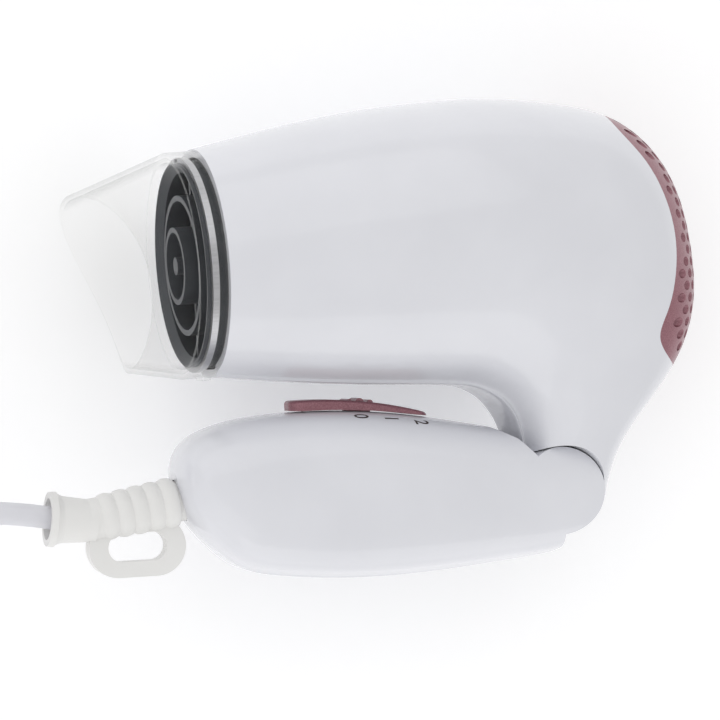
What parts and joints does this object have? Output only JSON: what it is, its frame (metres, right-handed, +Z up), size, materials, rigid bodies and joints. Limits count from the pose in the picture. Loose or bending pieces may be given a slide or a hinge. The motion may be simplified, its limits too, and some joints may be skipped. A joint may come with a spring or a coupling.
{
  "type": "folding hair dryer",
  "caption": "Folding travel hair dryer with a hinged handle, sliding switch, perforated rear cap, clear concentrator, mains cord and plug.",
  "frame": {"origin": "under the middle of the dryer's box, on the surface that it lies on, measured without the cord, its coil and the plug", "axes": "+X along the barrel from its outlet to its rear, +Y from the folded handle to the barrel, +Z up, square to the fold plane"},
  "size_m": [0.319, 0.1268, 0.0702],
  "materials": {
    "shell_white": "glossy moulded white with a faint lilac cast",
    "trim_pink": "satin rose-mauve metallic paint on plastic",
    "grille_dark": "dark grey heat-proof plastic",
    "nozzle_clear": "clear polycarbonate, thicker at its lip",
    "relief_ivory": "soft ivory-white PVC",
    "cord_white": "light grey-white PVC sheath",
    "plug_white": "white moulded PVC",
    "pin_nickel": "nickel-plated brass",
    "steel": "plain zinc-plated steel",
    "inner_plastic": "black switch plastic",
    "brass_parts": "tinned brass strip",
    "magnet_dark": "sintered ferrite",
    "mica": "pressed mica sheet",
    "board_green": "glass-epoxy board",
    "wire_blue": "silicone wire insulation",
    "tie_black": "PVC-covered wire tie"
  },
  "bodies": {
    "handle": {"handle_shell_left": "shell_white", "handle_shell_right": "shell_white", "handle_screws": "steel", "switch_body": "inner_plastic", "switch_terminals": "brass_parts", "switch_rails": "inner_plastic", "hinge_bush": "steel", "wave_washer": "steel", "hinge_washer": "steel", "cord_clamp": "inner_plastic", "clamp_screws": "steel", "cord_inside": "cord_white", "handle_wires": "wire_blue", "strain_relief": "relief_ivory", "cord_lead": "cord_white", "cord_tail": "cord_white", "cord_coil": "cord_white", "cord_tie": "tie_black", "plug_body": "plug_white", "plug_pins": "pin_nickel"},
    "barrel": {"barrel_shell_left": "shell_white", "barrel_shell_right": "shell_white", "barrel_screws": "steel", "rear_grille": "trim_pink", "outlet_grille": "grille_dark", "heat_tube": "mica", "mica_board_upright": "mica", "mica_board_level": "mica", "heater_coils": "steel", "thermostat": "brass_parts", "thermal_fuse": "steel", "fan_housing": "grille_dark", "motor_can": "steel", "motor_magnets": "magnet_dark", "motor_end_cap": "inner_plastic", "rectifier_board": "board_green", "inlet_mesh": "grille_dark", "barrel_wires": "wire_blue"},
    "fan_rotor": {"fan_impeller": "grille_dark", "motor_shaft": "steel", "motor_rotor": "steel"},
    "nozzle_ring": {"nozzle_snap_ring": "steel"},
    "nozzle": {"concentrator_nozzle": "nozzle_clear"},
    "slider": {"switch_slider": "trim_pink", "switch_actuator": "inner_plastic"}
  },
  "joints": [
    {"name": "fold_hinge", "type": "hinge", "parent": "handle", "child": "barrel", "pos_m": [0.04262, -0.04193, 0.03511], "axis": [0, 0, -1], "range_deg": [0, 76]},
    {"name": "fan_spin", "type": "hinge", "parent": "barrel", "child": "fan_rotor", "pos_m": [0.04782, 0.02187, 0.03511], "axis": [1, 0, 0], "continuous": true},
    {"name": "nozzle_pull", "type": "slide", "parent": "barrel", "child": "nozzle_ring", "axis": [-1, 0, 0], "range_m": [0, 0.03]},
    {"name": "nozzle_turn", "type": "hinge", "parent": "nozzle_ring", "child": "nozzle", "pos_m": [-0.04518, 0.02187, 0.03511], "axis": [1, 0, 0], "continuous": true},
    {"name": "switch_slide", "type": "hinge", "parent": "handle", "child": "slider", "pos_m": [-0.03138, -0.23413, 0.03511], "axis": [0, 0, -1], "range_deg": [0, 4.1]}
  ]
}
